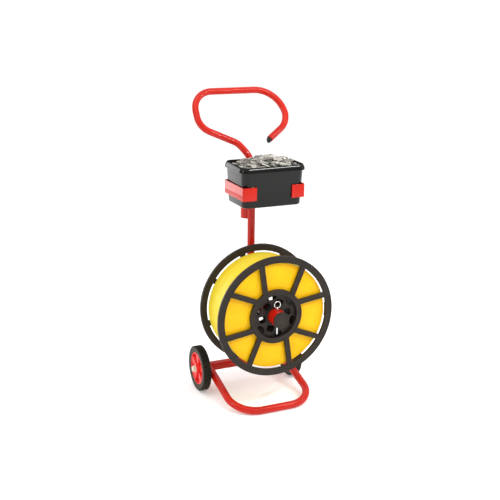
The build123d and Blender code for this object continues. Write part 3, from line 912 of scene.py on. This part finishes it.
def held_in(points, half_x, half_y, corner):
    """Points moved inside a rounded rectangle about the tote's middle.

    In a corner, the offset from the corner's centre is scaled by corner / distance."""
    middle = np.array([0, TOTE_Y])
    offset = points[..., :2] - middle
    straight = np.array([half_x, half_y]) - corner
    past = np.minimum(np.abs(offset) - straight, corner)
    far = np.linalg.norm(np.maximum(past, 1e-9), axis=-1, keepdims=True)
    past = np.where((past > 0).all(axis=-1, keepdims=True), past * np.minimum(1, corner / far), past)
    points[..., :2] = np.sign(offset) * (straight + past) + middle
    return points


def build_seals():
    """Seals strewn over the dome in three layers, each copy of seal_shape turned its own way."""
    rng = np.random.default_rng(23)
    reach_x, reach_y = HEAP_HALF_X - SEAL_INSET, HEAP_HALF_Y - SEAL_INSET
    spots = []
    for pitch, sink in SEAL_LAYERS:
        xs = np.arange(-reach_x, reach_x + 1e-6, pitch)
        ys = np.arange(-reach_y, reach_y + 1e-6, pitch)
        gx, gy = (g.ravel() for g in np.meshgrid(xs, ys))
        gx = np.clip(gx + rng.uniform(-0.4, 0.4, gx.size) * pitch, -reach_x, reach_x)
        gy = np.clip(gy + rng.uniform(-0.4, 0.4, gy.size) * pitch, -reach_y, reach_y)
        gz = heap_height(gx, gy + TOTE_Y) - sink - rng.uniform(0, 3 * MM, gx.size) - 4 * MM
        spots.append(np.stack([gx, gy + TOTE_Y, gz], axis=1))
    spots = np.concatenate(spots)
    count = len(spots)
    tilt = np.abs(rng.normal(0, math.radians(19), count))
    over = rng.random(count) < 0.6
    tilt = np.where(over, math.pi - tilt * 0.8, tilt)
    turn = turns(rng.uniform(0, 2 * math.pi, count), tilt, rng.uniform(0, 2 * math.pi, count))
    grid = seal_shape()
    rows, columns = grid.shape[:2]
    shape = grid.reshape(-1, 3) - [0, 0, 2.3 * MM]
    points = np.einsum("nij,kj->nki", turn, shape) + spots[:, None]
    points = held_in(points, HEAP_HALF_X, HEAP_HALF_Y, TOTE_CORNER - TOTE_WALL)
    faces = outward(shape, seal_faces(rows, columns))
    all_faces = (faces[None] + (np.arange(count) * len(shape))[:, None, None]).reshape(-1, 4)
    mesh = bpy.data.meshes.new("loose_seals")
    mesh.from_pydata(points.reshape(-1, 3).tolist(), [], all_faces.tolist())
    set_attribute(mesh, "shade", np.repeat(rng.uniform(0, 1, count), len(shape)))
    mesh.validate()
    mesh.shade_smooth()
    mesh.set_sharp_from_angle(angle=math.radians(25))
    obj = linked("loose_seals", mesh)
    obj.data.materials.append(SEALS)
    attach(obj, "tote")
    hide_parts("seal_heap")


def build_seal_bed():
    """The lumpy mass under the loose seals, given a dark tone as painted shade under them: rings of
    two grids, from the top to the floor.

    Upper surface: the dome, 13 mm down, plus lumps of up to 2.5 mm, falling by 14 mm at the
    border. Lower surface: flat, and drawn in to 0.9 of the width."""
    n = 60
    u, v = np.meshgrid(np.linspace(-1, 1, n), np.linspace(-1, 1, n), indexing="ij")
    half_x, half_y = HEAP_HALF_X - 2 * MM, HEAP_HALF_Y - 2 * MM
    bed_x, bed_y = u * half_x, v * half_y + TOTE_Y
    lumps = 2.5 * MM * np.sin(u * 31 + 3 * np.sin(v * 17)) * np.sin(v * 23 + 2 * np.sin(u * 13))
    rim_fall = 14 * MM * np.maximum(np.abs(u), np.abs(v)) ** 10
    upper = np.stack([bed_x, bed_y, heap_height(bed_x, bed_y) - 13 * MM + lumps - rim_fall], axis=2)
    lower = upper.copy()
    lower[..., 2] = tote_low[2] + TOTE_WALL + 2 * MM
    lower[..., :2] = (lower[..., :2] - [0, TOTE_Y]) * 0.9 + [0, TOTE_Y]
    upper, lower = (held_in(side, half_x, half_y, TOTE_CORNER) for side in (upper, lower))
    rings_up = [shell_ring(upper, k) for k in range(n // 2 - 1, -1, -1)]
    rings_low = [shell_ring(lower, k) for k in range(0, n // 2)]
    size = rings_up[-1].shape[0]
    bed = np.stack([resample(r, size) for r in rings_up + rings_low])
    # shade 0.15 picks the dark end of the zinc: painted shade in the gaps under the loose seals
    piece("seal_bed", [(bed, False, True)], SEALS, "tote", ["seal_heap"], 50,
          {"shade": np.full(bed.shape[0] * bed.shape[1] + 2, 0.15)})


def shell_ring(grid, k):
    """The closed ring of grid points k steps in from the border."""
    n = grid.shape[0] - 1 - k
    return np.concatenate([grid[k:n, k], grid[n, k:n], grid[n:k:-1, n], grid[k, n:k:-1]])


def resample(ring, size):
    """The same closed ring with the given number of points."""
    closed = np.concatenate([ring, ring[:1]])
    old = np.linspace(0, 1, len(closed))
    new = np.linspace(0, 1, size, endpoint=False)
    return np.stack([np.interp(new, old, closed[:, k]) for k in range(3)], axis=1)


# ---- wheels
def build_wheels():
    """Tyre, hub and cap on each side."""
    for name, side in (("left", -1), ("right", 1)):
        build_tyre(name, side)
        build_hub(name, side)
        build_cap(name, side)


def build_tyre(name, side):
    """Tyre: a turned profile whose tread radius drops by 3 mm between 78 cross ribs."""
    a, b = WHEEL_INNER, WHEEL_OUTER
    bore, top = 55 * MM, WHEEL_R
    rib_depth = 3 * MM
    shoulder = top - 5.5 * MM
    outline = [(a, bore), (a, shoulder), (a + 0.8 * MM, top - 2.2 * MM), (a + 2.4 * MM, top),
               (b - 2.4 * MM, top), (b - 0.8 * MM, top - 2.2 * MM), (b, shoulder),
               (b, top - 9.5 * MM), (b - 0.8 * MM, top - 10.5 * MM), (b - 0.8 * MM, bore + 2 * MM),
               (b - 1.8 * MM, bore)]
    profile = rounded(outline, mm(1, 1, 0.8, 0.8, 0.8, 0.8, 1, 0.5, 0.5, 0.5, 0.5), 4)
    ribs, per_rib = 78, 6
    angle = full_turn(ribs * per_rib)[None]
    low_rib = np.tile([0.0, 0.0, 0.5, 1.0, 1.0, 1.0], ribs)[None]
    x, r = profile[:, 0, None], profile[:, 1, None]
    groove = np.clip((r - shoulder) / rib_depth, 0, 1) * low_rib
    radius = r - rib_depth * groove
    sidewall = np.where((x > b - 1 * MM) & (r < top - 5 * MM), 1.0, 0.0) + 0 * radius
    x = np.broadcast_to(x, radius.shape) * side
    grid = np.stack([x, AXLE_Y + radius * np.sin(angle), AXLE_Z + radius * np.cos(angle)], axis=2)
    # groove sets the depth of the ribs and also masks the painted shade of the grooves in tyre_rubber
    piece("tyre_tread_" + name, [(grid, True, True)], RUBBER, "wheel_" + name, ["tyre_" + name],
          30, {"groove": groove.ravel(), "sidewall": sidewall.ravel()})


def build_hub(name, side):
    """Hub with five fans, its outer face a height over a polar grid.

    Height = recess + (fan - recess) * s, where s eases from 0 to 1 across a fan's flank, and
    a fan's half width grows from 4 mm at a radius of 14 mm to 15 mm at the rim band."""
    a, b = WHEEL_INNER, WHEEL_OUTER
    low, high = span("wheel_hub_right")
    bore, boss, band, rim = 6.1 * MM, 16 * MM, 51 * MM, 55 * MM
    angle = full_turn(240)[None]
    r = np.concatenate([[bore, boss - 0.8 * MM, boss, boss + 0.2 * MM],
                        np.linspace(boss + 1 * MM, band - 0.6 * MM, 18),
                        [band, band + 0.6 * MM, rim - 0.5 * MM, rim]])[:, None]
    fifth = 2 * math.pi / 5
    turn = (angle + fifth / 2) % fifth - fifth / 2
    half = 4 * MM + 11 * MM * (r - 14 * MM) / (37 * MM)
    flank = np.clip((half - r * np.abs(np.sin(turn))) / (1.6 * MM) + 0.5, 0, 1)
    flank = flank * flank * (3 - 2 * flank)
    fan = b - 6 * MM + 2.5 * MM * (r - boss) / (band - boss)
    recess = b - 15 * MM
    face = recess + (fan - recess) * flank
    face = np.where(r < boss + 0.1 * MM, high[0] - 0.6 * MM * (r > boss - 0.1 * MM), face)
    face = np.where(r > band + 0.1 * MM, b - 2 * MM - 0.5 * MM * (r > rim - 0.1 * MM), face)
    back_r = np.array([rim, band, band - 0.5 * MM, boss + 0.5 * MM, boss, bore])[:, None]
    back_x = np.array([a + 2 * MM, a + 2 * MM, a + 8 * MM, a + 8 * MM, low[0], low[0]])[:, None]
    x = side * np.concatenate([face, back_x + 0 * angle])
    r = np.concatenate([r, back_r]) + 0 * angle
    grid = np.stack([x, AXLE_Y + r * np.sin(angle), AXLE_Z + r * np.cos(angle)], axis=2)
    piece("fan_hub_" + name, [(grid, True, True)], HUB_RED, "wheel_" + name, ["wheel_hub_" + name],
          40)


def build_cap(name, side):
    """Domed push-on cap with a turned-in foot."""
    low, high = span("axle_cap_" + name)
    start, end = (low[0], high[0]) if side > 0 else (high[0], low[0])
    r = (high[2] - low[2]) / 2
    profile = rounded([(start, 6 * MM), (start, r), (start + side * 2 * MM, r),
                       (start + side * 2.6 * MM, r - 1 * MM), (end - side * 3 * MM, r - 1.2 * MM),
                       (end, r - 4.5 * MM), (end, 0), (start + side * 6 * MM, 0),
                       (start + side * 6 * MM, 6 * MM)],
                      mm(0.3, 0.6, 0.3, 0.3, 2.5, 2.5, 0, 0, 0.5))
    cap = lathe_grid(profile, X_AXIS, (0, AXLE_Y, AXLE_Z), 64)
    piece("push_on_cap_" + name, [cap], CREAM, "frame", ["axle_cap_" + name])


# ---- carried-over CAD pieces
def finish_node(node, finish, edge=0.6 * MM):
    """A CAD piece keeps its shape; its edges are eased and it gets its finish."""
    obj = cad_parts[node]
    weld = obj.modifiers.new("weld", "WELD")
    weld.merge_threshold = 1e-6
    ease = obj.modifiers.new("eased_edges", "BEVEL")
    ease.width = edge
    ease.segments = 2
    ease.limit_method = "ANGLE"
    ease.angle_limit = math.radians(40)
    obj.data.materials.clear()
    obj.data.materials.append(finish)


# ---- floor, light and camera
def area_light(name, place, aim, size, power):
    """A white rectangular softbox at place, turned to face aim."""
    data = bpy.data.lights.new(name, "AREA")
    data.shape = "RECTANGLE"
    data.size, data.size_y = size
    data.energy = power
    obj = linked(name, data)
    obj.location = place
    obj.rotation_mode = "QUATERNION"
    obj.rotation_quaternion = (Vector(aim) - Vector(place)).to_track_quat("-Z", "Y")


def build_stage():
    """Wide pale floor, the sky and five softboxes."""
    mesh = bpy.data.meshes.new("floor")
    corners = [(x, y, 0) for x, y in rectangle(500.0, 500.0)]
    mesh.from_pydata(corners, [], [(0, 1, 2, 3)])
    floor = linked("floor", mesh)
    pale = Finish("pale_floor", Roughness=0.95, Emission_Strength=0.2)
    pale.shader.inputs["Emission Color"].default_value = (1, 1, 1, 1)
    pale.shader.inputs["Specular IOR Level"].default_value = 0.0
    floor.data.materials.append(pale.done((0.95, 0.95, 0.95, 1.0)))
    build_sky()
    centre = (0, 0, 0.5)
    area_light("overhead_softbox", (-0.5, -0.5, 3.0), centre, (1.8, 1.2), 10)
    area_light("front_strip", (0.75, -1.55, 2.1), (0, -0.1, 0.6), (1.5, 0.14), 30)
    area_light("back_left_softbox", (-1.25, 2.1, 0.75), (0, 0, 0.6), (1.0, 1.3), 13)
    area_light("left_softbox", (-2.3, -0.2, 1.3), centre, (0.5, 1.6), 10)
    area_light("right_fill", (2.4, -1.0, 1.2), centre, (0.7, 1.6), 6)


def build_sky():
    """Soft room light: bright overhead, dim towards the horizon.

    Strength runs from the low to the high value as the direction rises from 0.05 to 0.75.
    The sky itself shows as a plain white backdrop."""
    world = bpy.data.worlds.new("studio")
    bpy.context.scene.world = world
    world.use_nodes = True
    nodes, links = world.node_tree.nodes, world.node_tree.links
    way = nodes.new("ShaderNodeTexCoord").outputs["Generated"]
    parts = nodes.new("ShaderNodeSeparateXYZ")
    links.new(way, parts.inputs[0])
    rise = nodes.new("ShaderNodeMapRange")
    for key, value in {"From Min": 0.05, "From Max": 0.75, "To Min": 0.25, "To Max": 1.05}.items():
        rise.inputs[key].default_value = value
    links.new(parts.outputs["Z"], rise.inputs["Value"])
    backdrop = nodes.new("ShaderNodeMath")
    backdrop.operation = "MAXIMUM"
    links.new(rise.outputs["Result"], backdrop.inputs[0])
    links.new(nodes.new("ShaderNodeLightPath").outputs["Is Camera Ray"], backdrop.inputs[1])
    links.new(backdrop.outputs[0], nodes["Background"].inputs["Strength"])
    nodes["Background"].inputs["Color"].default_value = (1, 1, 1, 1)


CAMERA_PLACE = (-1.175, MAST_Y - 2.629, 1.325)
CAMERA_TURN = (24.02, 16.21, -0.63)     # degrees right, down and rolled
CAMERA_LENS = 64.79


def build_camera():
    """Camera in front, to the left and higher than the handle, looking down at the trolley."""
    yaw, pitch, roll = (math.radians(a) for a in CAMERA_TURN)
    flat = math.cos(pitch)
    forward = np.array([math.sin(yaw) * flat, math.cos(yaw) * flat, -math.sin(pitch)])
    level = np.array([math.cos(yaw), -math.sin(yaw), 0])
    down = np.cross(forward, level)
    right = math.cos(roll) * level + math.sin(roll) * down
    down = -math.sin(roll) * level + math.cos(roll) * down
    data = bpy.data.cameras.new("camera")
    data.lens = CAMERA_LENS
    data.sensor_width = 36
    obj = linked("camera", data)
    turn = Matrix(np.stack([right, -down, -forward], axis=1).tolist())
    obj.matrix_world = Matrix.Translation(CAMERA_PLACE) @ turn.to_4x4()
    bpy.context.scene.camera = obj


bpy.context.scene.view_settings.view_transform = "Standard"
build_tubes()
build_cross_bar()
build_welds()
build_spindle()
build_pin()
build_flanges()
build_winding()
build_cradle()
build_tote()
build_seals()
build_seal_bed()
build_wheels()
for node in ("spindle_plate", "spindle_tube", "cradle_mount_block", "tool_sleeve"):
    finish_node(node, RED)
for node in ("front_hub_web", "rear_hub_web", "strap_end_clip"):
    finish_node(node, CHARCOAL)
for end in ("left", "right"):
    finish_node("axle_washer_" + end, STEEL, 0.3 * MM)
finish_node("axle_rod", STEEL)
build_stage()
build_camera()
